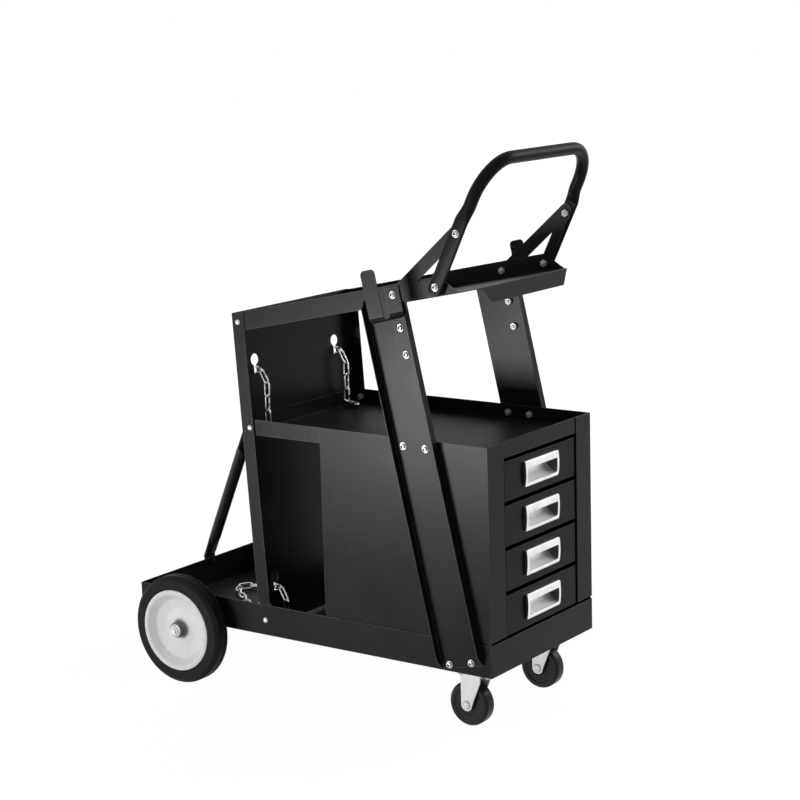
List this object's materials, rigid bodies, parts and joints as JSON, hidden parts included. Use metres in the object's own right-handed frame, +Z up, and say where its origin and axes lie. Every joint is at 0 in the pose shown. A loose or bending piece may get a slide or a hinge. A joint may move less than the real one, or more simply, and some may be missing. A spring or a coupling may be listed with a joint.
{
  "type": "welding cart",
  "caption": "Black sheet steel welding cart with a drawer cabinet, a shelf, a sloping top tray, a push handle, a chained bottle platform, rear wheels and swivel casters.",
  "frame": {"origin": "on the floor, under the middle of the cart's length and width", "axes": "+Z up, +X towards the drawers and the push handle, +Y towards the cart's left side"},
  "size_m": [0.7182, 0.4062, 0.8686],
  "materials": {
    "black_coat": "fine textured black powder coat",
    "drawer_coat": "fine textured black powder coat",
    "zinc": "bright zinc plate",
    "pull_bright": "bright plated pressing",
    "tyre_rubber": "matt black rubber",
    "caster_rubber": "matt black rubber",
    "wheel_disc": "silver paint, satin",
    "chain_steel": "bright plated wire"
  },
  "bodies": {
    "cart": {"axle_bracket_left": "black_coat", "axle_bracket_right": "black_coat", "axle_nut_left": "zinc", "axle_nut_right": "zinc", "base_tray": "black_coat", "cabinet_back": "black_coat", "cable_hook_left": "black_coat", "cable_hook_right": "black_coat", "caster_plate_left": "zinc", "caster_plate_right": "zinc", "drawer_runner_1_left": "zinc", "drawer_runner_1_right": "zinc", "drawer_runner_2_left": "zinc", "drawer_runner_2_right": "zinc", "drawer_runner_3_left": "zinc", "drawer_runner_3_right": "zinc", "drawer_runner_4_left": "zinc", "drawer_runner_4_right": "zinc", "handle_bracket_left": "black_coat", "handle_bracket_right": "black_coat", "handle_tube": "black_coat", "lower_chain": "chain_steel", "mid_shelf": "black_coat", "rear_axle": "zinc", "rear_panel": "black_coat", "rear_stay": "black_coat", "side_panel_left": "black_coat", "side_panel_right": "black_coat", "top_tray": "black_coat", "upper_chain": "chain_steel", "upright_left": "black_coat", "upright_right": "black_coat"},
    "drawer_body_1": {"drawer_1": "drawer_coat", "drawer_pull_1": "pull_bright"},
    "drawer_body_2": {"drawer_2": "drawer_coat", "drawer_pull_2": "pull_bright"},
    "drawer_body_3": {"drawer_3": "drawer_coat", "drawer_pull_3": "pull_bright"},
    "drawer_body_4": {"drawer_4": "drawer_coat", "drawer_pull_4": "pull_bright"},
    "rear_wheel_left": {"rear_tyre_left": "tyre_rubber", "rear_wheel_disc_left": "wheel_disc"},
    "caster_swivel_left": {"caster_fork_left": "zinc", "caster_axle_left": "zinc"},
    "caster_roller_left": {"caster_wheel_left": "caster_rubber"},
    "rear_wheel_right": {"rear_tyre_right": "tyre_rubber", "rear_wheel_disc_right": "wheel_disc"},
    "caster_swivel_right": {"caster_fork_right": "zinc", "caster_axle_right": "zinc"},
    "caster_roller_right": {"caster_wheel_right": "caster_rubber"}
  },
  "joints": [
    {"name": "drawer_1_slide", "type": "slide", "parent": "cart", "child": "drawer_body_1", "axis": [1, 0, 0], "range_m": [0, 0.2]},
    {"name": "drawer_2_slide", "type": "slide", "parent": "cart", "child": "drawer_body_2", "axis": [1, 0, 0], "range_m": [0, 0.2]},
    {"name": "drawer_3_slide", "type": "slide", "parent": "cart", "child": "drawer_body_3", "axis": [1, 0, 0], "range_m": [0, 0.2]},
    {"name": "drawer_4_slide", "type": "slide", "parent": "cart", "child": "drawer_body_4", "axis": [1, 0, 0], "range_m": [0, 0.2]},
    {"name": "rear_wheel_left_spin", "type": "hinge", "parent": "cart", "child": "rear_wheel_left", "pos_m": [-0.24483, 0.16865, 0.089], "axis": [0, 1, 0], "continuous": true},
    {"name": "rear_wheel_right_spin", "type": "hinge", "parent": "cart", "child": "rear_wheel_right", "pos_m": [-0.24483, -0.16865, 0.089], "axis": [0, 1, 0], "continuous": true},
    {"name": "caster_left_swivel", "type": "hinge", "parent": "cart", "child": "caster_swivel_left", "pos_m": [0.29617, 0.102, 0.0852], "axis": [0, 0, 1], "continuous": true},
    {"name": "caster_left_roll", "type": "hinge", "parent": "caster_swivel_left", "child": "caster_roller_left", "pos_m": [0.27417, 0.102, 0.0345], "axis": [0, 1, 0], "continuous": true},
    {"name": "caster_right_swivel", "type": "hinge", "parent": "cart", "child": "caster_swivel_right", "pos_m": [0.29617, -0.102, 0.0852], "axis": [0, 0, 1], "continuous": true},
    {"name": "caster_right_roll", "type": "hinge", "parent": "caster_swivel_right", "child": "caster_roller_right", "pos_m": [0.27417, -0.102, 0.0345], "axis": [0, 1, 0], "continuous": true}
  ]
}
